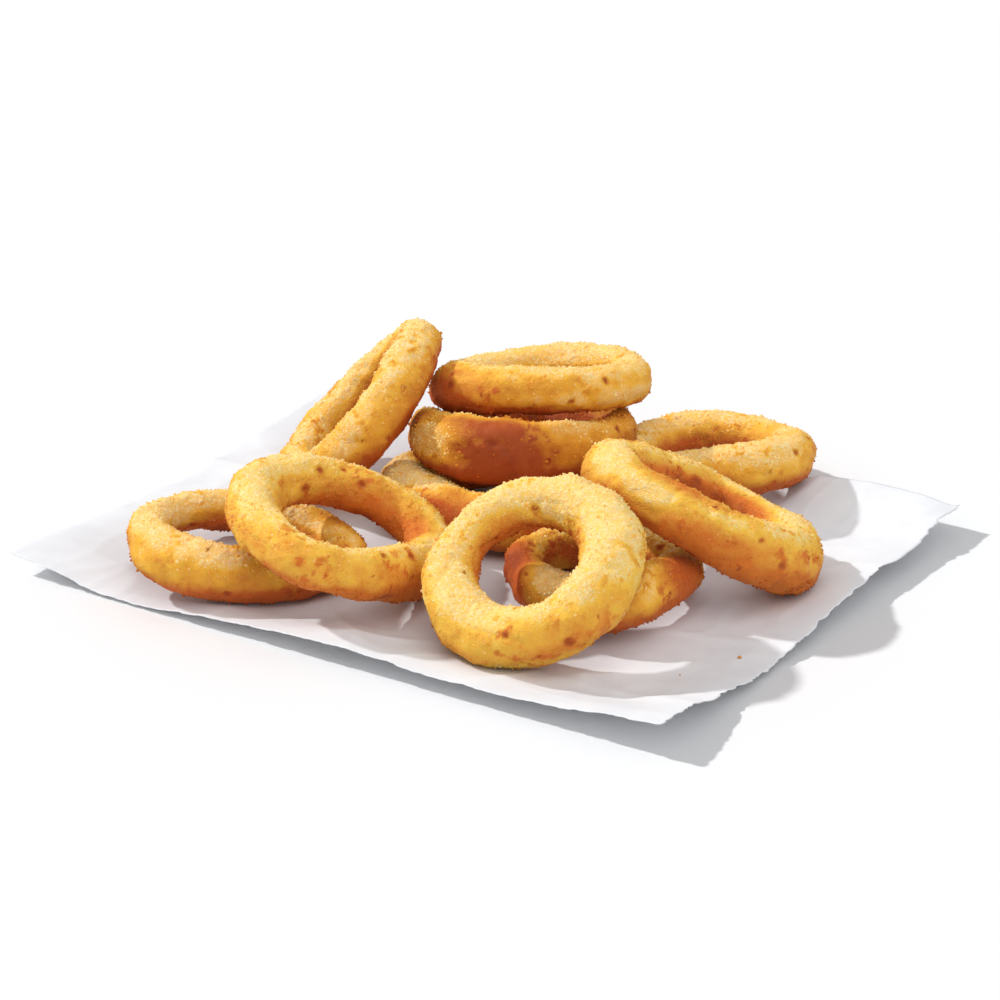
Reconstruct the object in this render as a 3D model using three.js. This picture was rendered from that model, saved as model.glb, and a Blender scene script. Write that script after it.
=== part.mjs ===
// A side of onion rings: ten battered rings piled on a sheet of white greaseproof paper.
// Millimetres, +Z up. X runs along the sheet's long side and Y along its short side, and the
// origin is under the middle of the whole serving, on the surface that the sheet lies on.

import * as THREE from 'three';
import { mergeVertices } from 'three/addons/utils/BufferGeometryUtils.js';

// The sheet: a 10 x 8 inch deli sheet. It is drawn thicker than real paper, which is 0.05 mm.
const SHEET_LONG = 254;
const SHEET_WIDE = 207;
const SHEET_THICK = 0.4;
const SHEET_CELLS_LONG = 30;
const SHEET_CELLS_WIDE = 24;
// Each margin lifts off the table. Its heights are given at seven even stations, from the
// first corner to the second, and the lift dies out over the band inside the edge.
const LIFT_BAND = 32;
const LIFT_FRONT = [5.5, 0.5, 3, 5.5, 5, 6, 10];
const LIFT_RIGHT = [10, 4.5, 1.5, 4, 6, 6, 9];
const LIFT_BACK = [7, 3, 1, 0, 0.5, 8.5, 9.5];
const LIFT_LEFT = [5.5, 4, 1.5, 0, 2.5, 5, 7];

// The crust's mesh: steps round a ring, and steps round its tube.
const STEPS_ROUND_RING = 36;
const STEPS_ROUND_TUBE = 12;
// Lumps in the batter: waves round the ring, twist round the tube and share of the tube's radius.
const LUMPS = [
  { waves: 4, twist: 1, share: 0.009 },
  { waves: 5, twist: -2, share: 0.007 },
  { waves: 7, twist: 1, share: 0.009 },
];
const LUMP_TURN = 2.4; // the angle, in radians, by which each ring's lumps differ from the last's

// Each ring is raised or lowered until this gap is left to what lies below it.
const REST_GAP = 0.35;
const REST_STEP = 0.05;
const REST_REACH = 4;
const REST_SAMPLES = 72;
const REST_PROBES = [-4, -2, 0, 2, 4];

// Ten rings, each no two alike, in the order in which they are laid down.
// x, y, z: middle of the ring, measured from the middle of the sheet
// long, wide: outer diameters; turn: direction of the long one; thick: diameter of the tube
// lean: angle off level; toward: direction in which the low side lies
// egg: how far the outline is from an oval, as a share, and the direction of its point
// bow: how far the ring is bent like a saddle, and the direction of its high ends
// plump: how much thicker than the mean one side is, as a share, and which side
// oval: how much thicker than the mean both ends are, as a share, and the ends' direction
// Directions are in degrees. The first three count from +X and the others from the long axis.
const RINGS = [
  {
    name: 'ring_left', x: -60, y: -62, z: 11.5, long: 81.5, wide: 73, thick: 16, turn: 28,
    lean: 7.5, toward: 52, egg: [0.06, -5], bow: [1, 20], plump: [0.14, -90], oval: [0.11, 75],
  },
  {
    name: 'ring_under_pile', x: -11.5, y: 22, z: 10.5, long: 81, wide: 76.5, thick: 19, turn: 15,
    lean: 2.5, toward: 85, egg: [0.04, -55], bow: [0.7, 45], plump: [0.12, -110], oval: [0.06, 40],
  },
  {
    name: 'ring_back_right', x: 35.5, y: 86, z: 12.5, long: 76, wide: 76, thick: 18, turn: 24,
    lean: 8.5, toward: 151, egg: [0.01, 15], bow: [1.3, -60], plump: [0.06, -65], oval: [0.04, -90],
  },
  {
    name: 'ring_under_front', x: 53.5, y: -17.5, z: 11.5, long: 66.5, wide: 70, thick: 16.5, turn: 66,
    lean: 4.5, toward: 144, egg: [0.05, -15], bow: [0.8, -70], plump: [0.13, -90], oval: [0.11, 55],
  },
  {
    name: 'ring_over_left', x: -22.5, y: -58.5, z: 23.5, long: 75.5, wide: 85, thick: 17.5, turn: 7,
    lean: 19.5, toward: 26, egg: [0.09, 45], bow: [2.5, -70], plump: [0.03, 145], oval: [0.06, 5],
  },
  {
    name: 'ring_middle', x: -16, y: 42, z: 25, long: 84, wide: 82.5, thick: 18.5, turn: 15,
    lean: 13.5, toward: 123, egg: [0.04, 5], bow: [2.3, 27], plump: [0.14, -57], oval: [0.22, -86],
  },
  {
    name: 'ring_top', x: -16.5, y: 58.5, z: 40, long: 79.5, wide: 79, thick: 17.5, turn: 33,
    lean: 14, toward: 135, egg: [0.02, -40], bow: [0.7, 60], plump: [0.03, -175], oval: [0.03, 25],
  },
  {
    name: 'ring_on_edge', x: -69, y: 21, z: 30, long: 79, wide: 79, thick: 17.5, turn: 30,
    lean: 46.5, toward: 209, egg: [0.01, 50], bow: [1.4, -10], plump: [0.07, 5], oval: [0.09, -70],
  },
  {
    name: 'ring_right', x: 73.5, y: 15.5, z: 25, long: 85, wide: 80, thick: 19.5, turn: 39,
    lean: 26.5, toward: 53, egg: [0.06, -50], bow: [0.2, 40], plump: [0.02, -10], oval: [0.1, -30],
  },
  {
    name: 'ring_front', x: 51.5, y: -56, z: 26.5, long: 73.5, wide: 73.5, thick: 19, turn: 18,
    lean: 31, toward: -91, egg: [0.02, -45], bow: [1.8, -30], plump: [0.11, -30], oval: [0.06, 25],
  },
];

const CRUST = { color: 0xd9a04a, roughness: 0.75, metalness: 0 };
const PAPER = { color: 0xf2f1ee, roughness: 0.9, metalness: 0 };

const UP = new THREE.Vector3(0, 0, 1);
const rad = THREE.MathUtils.degToRad;

function material(finish) {
  return new THREE.MeshStandardMaterial(finish);
}

// A wave of the given share, with its crest at the given direction and every 1/count turn from it.
function wave([share, crest], count, angle) {
  return share * Math.cos(count * (angle - rad(crest)));
}

// ---- one ring, level and centred, before it is laid down ----

function centreLine(ring, angle) {
  const reach = 1 + wave(ring.egg, 3, angle);
  return new THREE.Vector3(
    ((ring.long - ring.thick) / 2) * reach * Math.cos(angle),
    ((ring.wide - ring.thick) / 2) * reach * Math.sin(angle),
    wave(ring.bow, 2, angle),
  );
}

function tubeRadius(ring, angle) {
  return (ring.thick / 2) * (1 + wave(ring.plump, 1, angle) + wave(ring.oval, 2, angle));
}

function lumps(index, angle, around) {
  return LUMPS.reduce(
    (sum, { waves, twist, share }, k) =>
      sum + share * Math.cos(waves * angle + twist * around + LUMP_TURN * (index + 1) * (k + 1)),
    1,
  );
}

function ringGeometry(ring, index) {
  const blank = new THREE.TorusGeometry(3, 1, STEPS_ROUND_TUBE, STEPS_ROUND_RING);
  blank.deleteAttribute('normal');
  blank.deleteAttribute('uv');
  const geometry = mergeVertices(blank);
  const place = geometry.getAttribute('position');
  const halfStep = Math.PI / STEPS_ROUND_RING;
  for (let i = 0; i < place.count; i += 1) {
    const angle = Math.atan2(place.getY(i), place.getX(i));
    const around = Math.atan2(place.getZ(i), Math.hypot(place.getX(i), place.getY(i)) - 3);
    const along = centreLine(ring, angle + halfStep).sub(centreLine(ring, angle - halfStep));
    const outward = along.clone().cross(UP).normalize();
    const upward = outward.clone().cross(along).normalize();
    const reach = tubeRadius(ring, angle) * lumps(index, angle, around);
    const point = centreLine(ring, angle)
      .addScaledVector(outward, reach * Math.cos(around))
      .addScaledVector(upward, reach * Math.sin(around));
    place.setXYZ(i, point.x, point.y, point.z);
  }
  geometry.computeVertexNormals();
  return geometry;
}

// ---- the sheet ----

function stationHeight(heights, share) {
  const stations = heights.map((height, i) => new THREE.Vector2(i, height));
  return new THREE.SplineCurve(stations).getPoint(THREE.MathUtils.clamp(share, 0, 1)).y;
}

// Height of the sheet's underside over the table at x, y from the sheet's middle.
function sheetHeight(x, y) {
  const alongLong = x / SHEET_LONG + 0.5;
  const alongWide = y / SHEET_WIDE + 0.5;
  const margins = [
    { inside: alongWide * SHEET_WIDE, lift: stationHeight(LIFT_FRONT, alongLong) },
    { inside: (1 - alongLong) * SHEET_LONG, lift: stationHeight(LIFT_RIGHT, alongWide) },
    { inside: (1 - alongWide) * SHEET_WIDE, lift: stationHeight(LIFT_BACK, alongLong) },
    { inside: alongLong * SHEET_LONG, lift: stationHeight(LIFT_LEFT, alongWide) },
  ];
  let shares = 0;
  let lifted = 0;
  let flat = 1;
  for (const { inside, lift } of margins) {
    const share = 1 - THREE.MathUtils.smoothstep(inside, 0, LIFT_BAND);
    shares += share;
    lifted += share * lift;
    flat *= 1 - share;
  }
  return shares > 0 ? Math.max(0, (lifted / shares) * (1 - flat)) : 0;
}

// A thin solid: a grid of cells whose upper and lower faces are split into triangles alike.
function sheetGeometry() {
  const columns = SHEET_CELLS_LONG + 1;
  const rows = SHEET_CELLS_WIDE + 1;
  const positions = [];
  const triangles = [];
  for (const rise of [SHEET_THICK, 0]) {
    for (let row = 0; row < rows; row += 1) {
      for (let column = 0; column < columns; column += 1) {
        const x = (column / SHEET_CELLS_LONG - 0.5) * SHEET_LONG;
        const y = (row / SHEET_CELLS_WIDE - 0.5) * SHEET_WIDE;
        positions.push(x, y, sheetHeight(x, y) + rise);
      }
    }
  }
  const upper = (column, row) => row * columns + column;
  const lower = (column, row) => upper(column, row) + columns * rows;
  for (let row = 0; row < SHEET_CELLS_WIDE; row += 1) {
    for (let column = 0; column < SHEET_CELLS_LONG; column += 1) {
      const corners = [[column, row], [column + 1, row], [column + 1, row + 1], [column, row + 1]];
      const [a, b, c, d] = corners.map((corner) => upper(...corner));
      const [e, f, g, h] = corners.map((corner) => lower(...corner));
      triangles.push(a, b, c, a, c, d, e, g, f, e, h, g);
    }
  }
  const wall = (from, to) => {
    triangles.push(upper(...from), lower(...to), upper(...to));
    triangles.push(upper(...from), lower(...from), lower(...to));
  };
  for (let column = 0; column < SHEET_CELLS_LONG; column += 1) {
    wall([column, 0], [column + 1, 0]);
    wall([column + 1, SHEET_CELLS_WIDE], [column, SHEET_CELLS_WIDE]);
  }
  for (let row = 0; row < SHEET_CELLS_WIDE; row += 1) {
    wall([0, row + 1], [0, row]);
    wall([SHEET_CELLS_LONG, row], [SHEET_CELLS_LONG, row + 1]);
  }
  const geometry = new THREE.BufferGeometry();
  geometry.setAttribute('position', new THREE.Float32BufferAttribute(positions, 3));
  geometry.setIndex(triangles);
  geometry.computeVertexNormals();
  return geometry;
}

// ---- laying the rings down ----

function attitude(ring) {
  const hinge = new THREE.Vector3(-Math.sin(rad(ring.toward)), Math.cos(rad(ring.toward)), 0);
  const lean = new THREE.Quaternion().setFromAxisAngle(hinge, rad(ring.lean));
  return lean.multiply(new THREE.Quaternion().setFromAxisAngle(UP, rad(ring.turn)));
}

// The ring as a chain of balls along its centre-line, which is all that laying it down needs.
function ballChain(ring) {
  const turned = attitude(ring);
  return Array.from({ length: REST_SAMPLES }, (_, i) => {
    const angle = (2 * Math.PI * i) / REST_SAMPLES;
    const centre = centreLine(ring, angle).applyQuaternion(turned);
    return { centre: centre.add(new THREE.Vector3(ring.x, ring.y, 0)), radius: tubeRadius(ring, angle) };
  });
}

// Gap from a ball to the nearest of a few points on the sheet's upper face, or to the table.
function gapToSheet(centre, radius) {
  let nearest = centre.z - SHEET_THICK;
  for (const dx of REST_PROBES) {
    for (const dy of REST_PROBES) {
      const x = centre.x + dx;
      const y = centre.y + dy;
      if (Math.abs(x) > SHEET_LONG / 2 || Math.abs(y) > SHEET_WIDE / 2) continue;
      const point = new THREE.Vector3(x, y, sheetHeight(x, y) + SHEET_THICK);
      nearest = Math.min(nearest, centre.distanceTo(point));
    }
  }
  return nearest - radius;
}

// Height at which the chain just clears the sheet and every ball already laid down: the ring
// is raised from the wanted height until it is clear, then lowered while it stays clear.
function restHeight(chain, laid, wanted) {
  const clears = (height) => chain.every(({ centre, radius }) => {
    const lifted = new THREE.Vector3(centre.x, centre.y, centre.z + height);
    if (gapToSheet(lifted, radius) < REST_GAP) return false;
    return laid.every((ball) => ball.centre.distanceTo(lifted) > ball.radius + radius + REST_GAP);
  });
  let height = wanted;
  while (height < wanted + REST_REACH && !clears(height)) height += REST_STEP;
  while (height > wanted - REST_REACH && clears(height - REST_STEP)) height -= REST_STEP;
  return height;
}

const serving = new THREE.Group();

const sheet = new THREE.Mesh(sheetGeometry(), material(PAPER));
sheet.name = 'paper_sheet';
serving.add(sheet);

const laid = [];
RINGS.forEach((ring, index) => {
  const chain = ballChain(ring);
  const height = restHeight(chain, laid, ring.z);
  chain.forEach(({ centre, radius }) => {
    laid.push({ centre: centre.clone().setZ(centre.z + height), radius });
  });
  const mesh = new THREE.Mesh(ringGeometry(ring, index), material(CRUST));
  mesh.name = ring.name;
  mesh.quaternion.copy(attitude(ring));
  mesh.position.set(ring.x, ring.y, height);
  serving.add(mesh);
});

// The origin goes under the middle of the whole serving.
serving.updateMatrixWorld(true);
const box = new THREE.Box3().setFromObject(serving, true);
const middle = box.getCenter(new THREE.Vector3());
serving.position.set(-middle.x, -middle.y, -box.min.z);

export default serving;
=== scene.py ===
"""Dresses a side of onion rings: ten battered, fried rings on a sheet of greaseproof paper.

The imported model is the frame. Each ring is drawn again by the same rule as its solid, fine
enough to carry its lumps and crumbs, and the sheet is drawn as thin, creased paper. Lengths
are in millimetres until a mesh is made, angles are in degrees where a name says so, and the
same numbers come out on each run.
"""

from __future__ import annotations

import itertools
import logging
import math
from collections.abc import Mapping
from dataclasses import dataclass
from enum import Enum

import bpy
import numpy as np
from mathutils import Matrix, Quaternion, Vector


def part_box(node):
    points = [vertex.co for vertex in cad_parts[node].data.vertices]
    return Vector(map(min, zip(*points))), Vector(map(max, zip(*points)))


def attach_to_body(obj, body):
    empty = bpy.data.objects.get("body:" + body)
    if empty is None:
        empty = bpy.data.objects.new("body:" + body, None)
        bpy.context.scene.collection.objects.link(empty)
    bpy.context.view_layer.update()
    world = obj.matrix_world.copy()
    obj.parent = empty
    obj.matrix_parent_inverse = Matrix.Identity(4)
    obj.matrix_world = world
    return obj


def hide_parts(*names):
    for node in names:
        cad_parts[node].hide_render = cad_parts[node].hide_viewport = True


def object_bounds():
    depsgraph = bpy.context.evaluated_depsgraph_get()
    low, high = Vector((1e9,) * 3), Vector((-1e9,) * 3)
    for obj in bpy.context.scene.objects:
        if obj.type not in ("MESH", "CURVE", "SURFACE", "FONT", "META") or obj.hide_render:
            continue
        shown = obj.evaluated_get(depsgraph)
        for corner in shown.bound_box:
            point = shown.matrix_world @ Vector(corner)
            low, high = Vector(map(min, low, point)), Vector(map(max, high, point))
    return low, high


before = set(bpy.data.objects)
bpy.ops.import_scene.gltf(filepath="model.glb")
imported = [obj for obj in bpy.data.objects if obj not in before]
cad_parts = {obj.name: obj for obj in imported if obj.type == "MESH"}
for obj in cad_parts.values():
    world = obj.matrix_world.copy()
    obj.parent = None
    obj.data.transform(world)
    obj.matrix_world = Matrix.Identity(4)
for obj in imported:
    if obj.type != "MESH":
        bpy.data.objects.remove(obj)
CAD_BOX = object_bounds()

MM = 0.001  # one millimetre in metres
BODY = "root"

log = logging.getLogger("onion_rings")

Colour = tuple[float, float, float, float]


def linear(hex_colour: int) -> Colour:
    """Turn an sRGB hex colour to linear light.

    Args:
        hex_colour: the colour as 0xRRGGBB.

    Returns:
        Red, green, blue and an alpha of one.
    """
    channels = [((hex_colour >> shift) & 0xFF) / 255 for shift in (16, 8, 0)]
    r, g, b = (c / 12.92 if c <= 0.04045 else ((c + 0.055) / 1.055) ** 2.4 for c in channels)
    return (r, g, b, 1.0)


def per_mm(size: float) -> float:
    """Give the texture scale at which one feature is this many millimetres across."""
    return 1 / (size * MM)


# ---- patterns in space, for the shapes ----


def hashed(cells: np.ndarray, seed: int) -> np.ndarray:
    """Give every cell of a lattice its own fixed number.

    Args:
        cells: whole numbers, with x, y and z along the last axis.
        seed: which set of numbers to give.

    Returns:
        One number from 0 to 1 for each cell.
    """
    x, y, z = (cells[..., axis].astype(np.int64).astype(np.uint32) for axis in range(3))
    mixed = x * np.uint32(0x8DA6B343) + y * np.uint32(0xD8163841) + z * np.uint32(0xCB1AB31F)
    mixed = mixed + np.uint32((seed * 0x9E3779B1) & 0xFFFFFFFF)
    for shift, factor in ((15, 0x2C1B3C6D), (12, 0x297A2D39)):
        mixed = (mixed ^ (mixed >> np.uint32(shift))) * np.uint32(factor)
    return (mixed ^ (mixed >> np.uint32(15))).astype(np.float64) / 0xFFFFFFFF


def soft_noise(points: np.ndarray, cell: float, seed: int) -> np.ndarray:
    """Smooth random waves through space.

    Args:
        points: places in millimetres, with x, y and z along the last axis.
        cell: distance between one wave and the next, in millimetres.
        seed: which waves to give.

    Returns:
        One number from -1 to 1 for each place.
    """
    scaled = points / cell
    low = np.floor(scaled)
    share = scaled - low
    share = share**3 * (share * (share * 6 - 15) + 10)
    total = np.zeros(points.shape[:-1])
    for corner in itertools.product((0, 1), repeat=3):
        weight = np.prod(np.where(corner, share, 1 - share), axis=-1)
        total += weight * hashed(low + corner, seed)
    return 2 * total - 1


def domes(
    points: np.ndarray,
    cell: float,
    seed: int,
    radii: tuple[float, float] = (0.3, 0.75),
    present: float = 1.0,
) -> np.ndarray:
    """Round grains scattered through space, as high as they are wide.

    Args:
        points: places in millimetres, with x, y and z along the last axis.
        cell: size of the cells that hold one grain each, in millimetres.
        seed: which grains to give.
        radii: radii of the smallest and the largest grain, as shares of the cell.
        present: share of the cells that hold a grain.

    Returns:
        Height of the highest grain at each place, from 0 to 1.
    """
    scaled = points / cell
    home = np.floor(scaled)
    height = np.zeros(points.shape[:-1])
    for step in itertools.product((-1, 0, 1), repeat=3):
        here = home + step
        middle = here + np.stack([hashed(here, seed + axis) for axis in range(3)], axis=-1)
        radius = radii[0] + (radii[1] - radii[0]) * hashed(here, seed + 3)
        far = np.linalg.norm(scaled - middle, axis=-1) / radius
        grain = np.clip(1 - far**2, 0, None) * radius / radii[1]
        height = np.maximum(height, grain * (hashed(here, seed + 4) < present))
    return height


def wave(share_and_crest: tuple[float, float], count: int, angle: np.ndarray) -> np.ndarray:
    """A wave round a ring.

    Args:
        share_and_crest: height of the wave, and the direction of a crest in degrees.
        count: number of crests in one turn.
        angle: directions in radians.

    Returns:
        The wave's height at each direction.
    """
    share, crest = share_and_crest
    return share * np.cos(count * (angle - math.radians(crest)))


def smooth_share(value: np.ndarray, low: float, high: float) -> np.ndarray:
    """Rise smoothly from 0 at low to 1 at high."""
    share = np.clip((value - low) / (high - low), 0, 1)
    return share * share * (3 - 2 * share)


# ---- building meshes and materials ----


def make_mesh(
    name: str,
    points: np.ndarray,
    faces: np.ndarray,
    marks: Mapping[str, np.ndarray] | None = None,
    facing: np.ndarray | None = None,
) -> bpy.types.Object:
    """Make a piece of quads or triangles and put it in the scene.

    Args:
        name: the piece's name.
        points: places in millimetres, one row for each point.
        faces: the point numbers of each face, anticlockwise as seen from outside.
        marks: further numbers that the material reads, one for each point.
        facing: the direction that each point is shaded in, if it isn't the surface's own.

    Returns:
        The new object, at the origin.
    """
    mesh = bpy.data.meshes.new(name)
    mesh.vertices.add(len(points))
    mesh.vertices.foreach_set("co", (points * MM).astype(np.float32).ravel())
    mesh.loops.add(faces.size)
    mesh.loops.foreach_set("vertex_index", faces.astype(np.int32).ravel())
    mesh.polygons.add(len(faces))
    starts = np.arange(0, faces.size, faces.shape[1], dtype=np.int32)
    mesh.polygons.foreach_set("loop_start", starts)
    mesh.update(calc_edges=True)
    mesh.polygons.foreach_set("use_smooth", np.ones(len(faces), dtype=bool))
    for mark, values in (marks or {}).items():
        attribute = mesh.attributes.new(name=mark, type="FLOAT", domain="POINT")
        attribute.data.foreach_set("value", values.astype(np.float32).ravel())
    mesh.validate()
    if facing is not None:
        mesh.normals_split_custom_set_from_vertices(facing)
    piece = bpy.data.objects.new(name, mesh)
    bpy.context.scene.collection.objects.link(piece)
    return piece


def attach(piece: bpy.types.Object, slot: str, *nodes: str) -> None:
    """Tie a finished piece to the frame.

    Args:
        piece: the piece, in place.
        slot: the record's material slot; not used.
        nodes: the solids that it stands for.
    """
    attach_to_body(piece, BODY)
    if nodes:
        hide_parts(*nodes)
    faces = len(piece.data.polygons)
    log.info("%s: %d faces, %s", piece.name, faces, piece.data.materials[0].name)


def add_node(
    tree: bpy.types.NodeTree,
    kind: str,
    inputs: Mapping[str | int, object] | None = None,
    **settings: object,
) -> bpy.types.Node:
    """Add a node with its settings and its links.

    Args:
        tree: the material's or world's nodes.
        kind: Blender's name for the node, without ShaderNode.
        inputs: for each input, a value or the output that feeds it.
        settings: the node's own settings.

    Returns:
        The new node.
    """
    node = tree.nodes.new("ShaderNode" + kind)
    for setting, value in settings.items():
        setattr(node, setting, value)
    for key, value in (inputs or {}).items():
        if isinstance(value, bpy.types.NodeSocket):
            tree.links.new(value, node.inputs[key])
        else:
            node.inputs[key].default_value = value
    return node


def blank_material(name: str) -> tuple[bpy.types.Material, bpy.types.NodeTree]:
    """Make a material with an empty node tree.

    Args:
        name: the material's name.

    Returns:
        The material and its nodes.
    """
    material = bpy.data.materials.new(name)
    material.use_nodes = True
    material.node_tree.nodes.clear()
    return material, material.node_tree


# Settings of the nodes that recur.
TIMES_PLUS = {"operation": "MULTIPLY_ADD"}  # of a Math node: input 0 times input 1, plus input 2
TIMES = {"operation": "MULTIPLY"}  # of a Math node: input 0 times input 1
OF_COLOURS = {"data_type": "RGBA", "clamp_factor": True}  # of a Mix node
FALLING = {"To Min": 1.0, "To Max": 0.0}  # inputs of a Map Range node


# ---- finishes ----


class Fry(Enum):
    """How far a ring was fried: colours of its crumb tips, its batter and its hollows, whose brown
    is partly painted shade.
    """

    PALE = (0xE9D29A, 0xE8B946, 0xCC7028)
    GOLDEN = (0xEAD09A, 0xE8B03C, 0xBC5C24)
    DEEP = (0xE2B872, 0xD8982C, 0xA24A22)


@dataclass(frozen=True)
class Grains:
    """What the crumbs give: height, a paler share and glints, which are painted highlights."""

    height: bpy.types.NodeSocket
    pale: bpy.types.NodeSocket
    painted_glint: bpy.types.NodeSocket


@dataclass(frozen=True)
class FriedCrust:
    """Wheat batter and fine cracker crumb, deep fried.

    The crust is dry. Where crumb covers it, it is pale and sandy, and some grains have
    painted highlights as glints. Where the batter is bare, it is smooth and golden, and it
    browns towards its hollows, where its colour is also painted shade.
    """

    # The colour of scorching, also painted as deeper shade where the toast passes 1.
    scorched_and_shaded: int = 0x8E3C20
    # The colour of the painted highlights on glinting grains.
    painted_glint: int = 0xFFE9B8
    # Patterns, in millimetres.
    crumb: float = 0.9  # crumb is 0.3 to 0.7 mm, and is drawn a little coarser to show
    dust: float = 0.45  # crumb dust is 0.1 to 0.3 mm, and is drawn at twice that to show
    glint_apart: float = 2.6
    mottle: float = 3.2
    relief: float = 0.24
    relief_share: float = 0.65
    # Gloss: a glinting grain, dry crumb and bare batter.
    glint_rough: float = 0.4
    dry_rough: float = 0.8
    bare_rough: float = 0.5
    ior: float = 1.45
    sheen: float = 0.12
    # Light that spreads in the batter: its share, how far in millimetres, and the shares of
    # that for red, green and blue.
    soft: float = 0.4
    depth: float = 2.6
    spread: tuple[float, float, float] = (1.0, 0.35, 0.1)

    def grains(
        self,
        tree: bpy.types.NodeTree,
        place: bpy.types.NodeSocket,
        cover: bpy.types.NodeSocket,
    ) -> Grains:
        """Lay crumbs and dust over the batter.

        Args:
            tree: the material's nodes.
            place: where the surface is.
            cover: share of the batter that crumb covers.

        Returns:
            What the crumbs give.
        """
        crumbs = add_node(
            tree, "TexVoronoi", {"Vector": place, "Scale": per_mm(self.crumb), "Randomness": 1.0}
        )
        dome = add_node(
            tree,
            "MapRange",
            {"Value": crumbs.outputs["Distance"], "From Min": 0.1, "From Max": 0.6, **FALLING},
            interpolation_type="SMOOTHSTEP",
        ).outputs["Result"]
        dust = add_node(
            tree,
            "TexNoise",
            {"Vector": place, "Scale": per_mm(self.dust), "Detail": 2.0, "Roughness": 0.6},
        ).outputs["Fac"]
        # Dust lies over the crumbs, and both stand lower where the batter is bare.
        covered = add_node(tree, "Math", {0: cover, 1: 0.85, 2: 0.15}, **TIMES_PLUS).outputs[0]
        height = add_node(tree, "Math", {0: dust, 1: 0.8, 2: dome}, **TIMES_PLUS).outputs[0]
        height = add_node(tree, "Math", {0: height, 1: covered}, **TIMES).outputs[0]
        # Each crumb is paler by its own amount.
        shade = add_node(tree, "SeparateColor", {"Color": crumbs.outputs["Color"]}).outputs["Red"]
        pale = add_node(tree, "Math", {0: dome, 1: shade}, **TIMES).outputs[0]
        pale = add_node(tree, "Math", {0: pale, 1: cover}, **TIMES).outputs[0]
        # Few grains have glints, painted highlights on glossier spots, and only where the
        # crumb is thick.
        glints = add_node(
            tree,
            "TexVoronoi",
            {"Vector": place, "Scale": per_mm(self.glint_apart), "Randomness": 1.0},
        )
        spark = add_node(
            tree,
            "MapRange",
            {"Value": glints.outputs["Distance"], "From Min": 0.06, "From Max": 0.15, **FALLING},
        ).outputs["Result"]
        picked = add_node(tree, "SeparateColor", {"Color": glints.outputs["Color"]})
        spark = add_node(tree, "Math", {0: spark, 1: picked.outputs["Green"]}, **TIMES).outputs[0]
        thick = add_node(tree, "Math", {0: cover, 1: 0.9, 2: -0.35}, **TIMES_PLUS).outputs[0]
        painted_glint = add_node(tree, "Math", {0: spark, 1: thick}, **TIMES).outputs[0]
        return Grains(height, pale, painted_glint)

    def build(self, fry: Fry) -> bpy.types.Material:
        """Make the crust for one degree of frying.

        Args:
            fry: how far the ring was fried.

        Returns:
            The material.
        """
        tip, batter, brown_and_shade = (linear(colour) for colour in fry.value)
        material, tree = blank_material(f"fried_batter_{fry.name.lower()}")
        place = add_node(tree, "TexCoord").outputs["Object"]
        cover, crumb, toast_and_shade, scorch_and_shade = (
            add_node(tree, "Attribute", attribute_name=mark).outputs["Fac"]
            for mark in ("cover", "crumb", "toast_and_shade", "scorch_and_shade")
        )
        grains = self.grains(tree, place, cover)
        mottle = add_node(
            tree,
            "TexNoise",
            {"Vector": place, "Scale": per_mm(self.mottle), "Detail": 3.0, "Roughness": 0.6},
        ).outputs["Fac"]
        # The batter goes from golden to red-brown as it is toasted and as painted shade deepens.
        browned_and_shaded = add_node(tree, "Math", {0: toast_and_shade, 1: 1.5, 2: -0.5}, **TIMES_PLUS).outputs[0]
        browned_and_shaded = add_node(tree, "Math", {0: mottle, 1: 0.5, 2: browned_and_shaded}, **TIMES_PLUS).outputs[0]
        # Crumb tips are paler, each crumb by its own amount, and least so where it is toasted
        # and where shade is painted.
        paled = add_node(tree, "Math", {0: crumb, 1: 0.6, 2: 0.72}, **TIMES_PLUS).outputs[0]
        paled = add_node(tree, "Math", {0: grains.pale, 1: 2.2, 2: paled}, **TIMES_PLUS).outputs[0]
        paled = add_node(tree, "Math", {0: mottle, 1: -0.9, 2: paled}, **TIMES_PLUS).outputs[0]
        keeps = add_node(
            tree, "MapRange", {"Value": toast_and_shade, "From Max": 0.22, "To Min": 1.0, "To Max": 0.04}
        ).outputs["Result"]
        paled = add_node(tree, "Math", {0: paled, 1: keeps}, **TIMES).outputs[0]
        # Layers over the batter: browning with painted shade, pale crumb tips, painted highlights
        # on glinting grains, and scorching that also deepens painted shade.
        colour = batter
        for share, layer in (
            (browned_and_shaded, brown_and_shade),
            (paled, tip),
            (grains.painted_glint, linear(self.painted_glint)),
            (scorch_and_shade, linear(self.scorched_and_shaded)),
        ):
            inputs = {"Factor": share, "A": colour, "B": layer}
            colour = add_node(tree, "Mix", inputs, **OF_COLOURS).outputs["Result"]
        dry = add_node(
            tree,
            "MapRange",
            {"Value": cover, "To Min": self.bare_rough, "To Max": self.dry_rough},
        ).outputs["Result"]
        roughness = add_node(
            tree, "MapRange", {"Value": grains.painted_glint, "To Min": dry, "To Max": self.glint_rough}
        ).outputs["Result"]
        relief = add_node(
            tree,
            "Bump",
            {
                "Height": grains.height,
                "Strength": self.relief_share,
                "Distance": self.relief * MM,
            },
        ).outputs["Normal"]
        shader = add_node(
            tree,
            "BsdfPrincipled",
            {
                "Base Color": colour,
                "Roughness": roughness,
                "Normal": relief,
                "IOR": self.ior,
                "Specular IOR Level": self.sheen,
                "Subsurface Weight": self.soft,
                "Subsurface Radius": self.spread,
                "Subsurface Scale": self.depth * MM,
            },
        )
        add_node(tree, "OutputMaterial", {"Surface": shader.outputs["BSDF"]})
        return material


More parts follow.
